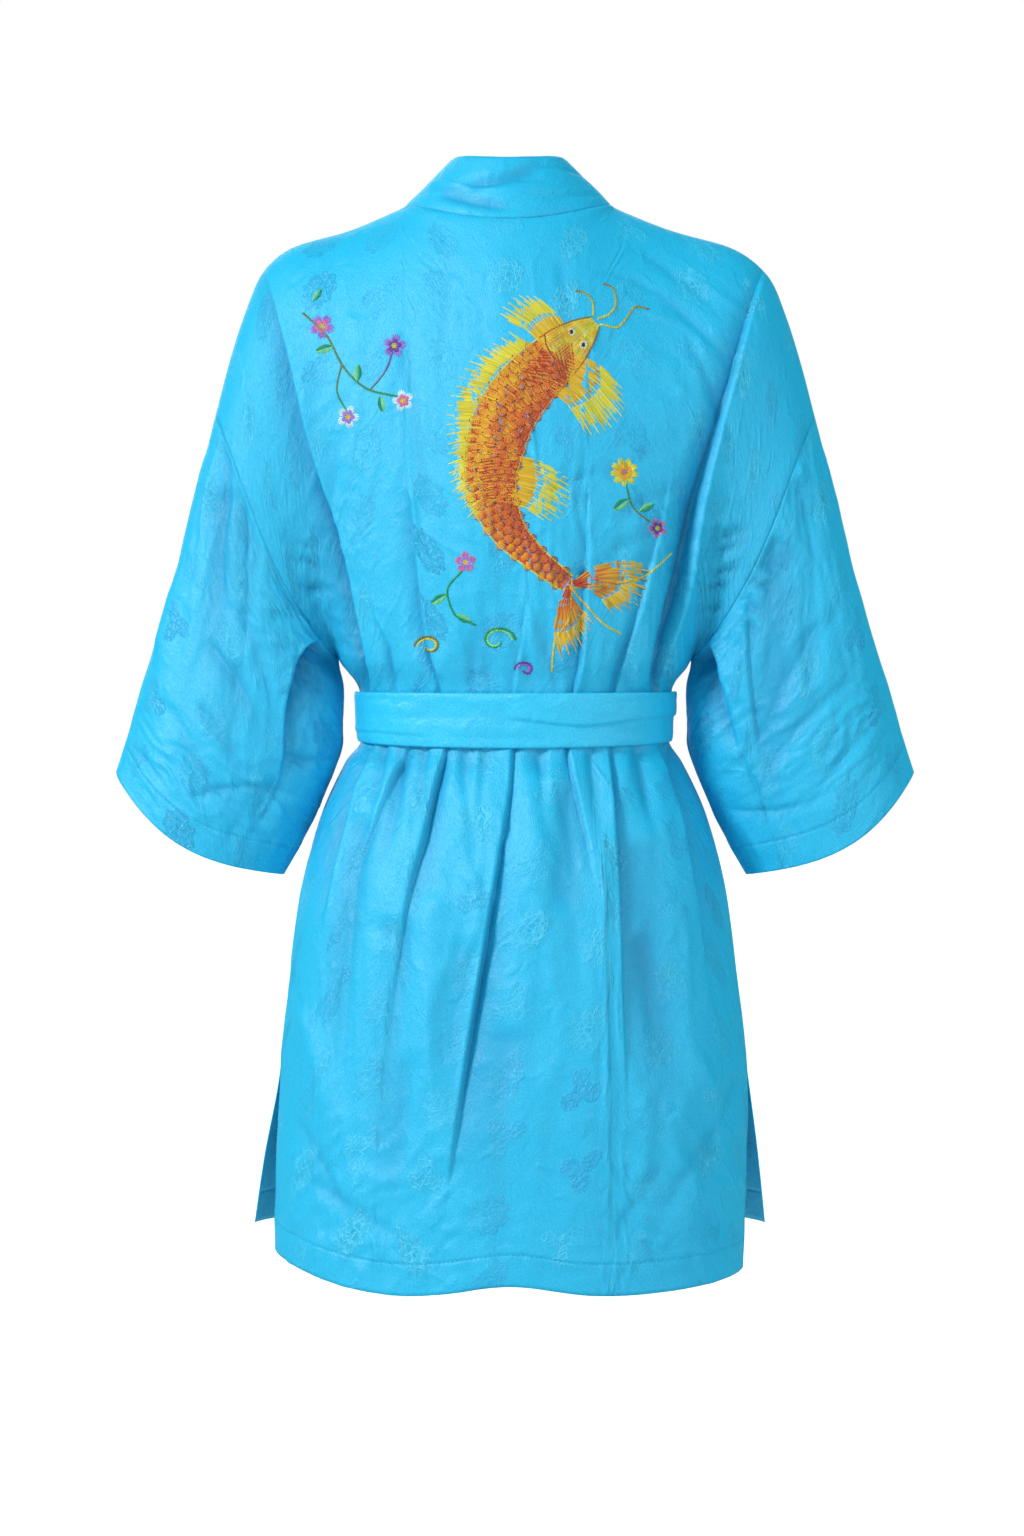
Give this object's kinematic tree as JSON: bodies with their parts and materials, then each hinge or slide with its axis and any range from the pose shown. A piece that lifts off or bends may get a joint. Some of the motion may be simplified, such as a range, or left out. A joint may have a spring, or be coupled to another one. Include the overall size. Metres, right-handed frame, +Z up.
{
  "type": "kimono robe",
  "caption": "Short wrap robe with wide dropped sleeves, a standing neckband, side slits and a tied sash, held open as if worn.",
  "frame": {"origin": "middle of the neck opening, level with the points where the shoulders meet the neckband, where the wearer holds the robe up", "axes": "+Z up, towards the wearer's head; +Y towards the back of the robe; +X towards the wearer's left"},
  "size_m": [0.6394, 0.2833, 0.8828],
  "materials": {
    "robe_silk": "satin",
    "band_silk": "satin",
    "belt_silk": "satin"
  },
  "bodies": {
    "root": {"back": "robe_silk", "front_left": "robe_silk", "front_right": "robe_silk", "sleeve_left": "robe_silk", "sleeve_right": "robe_silk", "neckband": "band_silk", "belt_band": "belt_silk", "belt_knot": "belt_silk", "belt_tail_left": "belt_silk", "belt_tail_right": "belt_silk"}
  },
  "joints": []
}
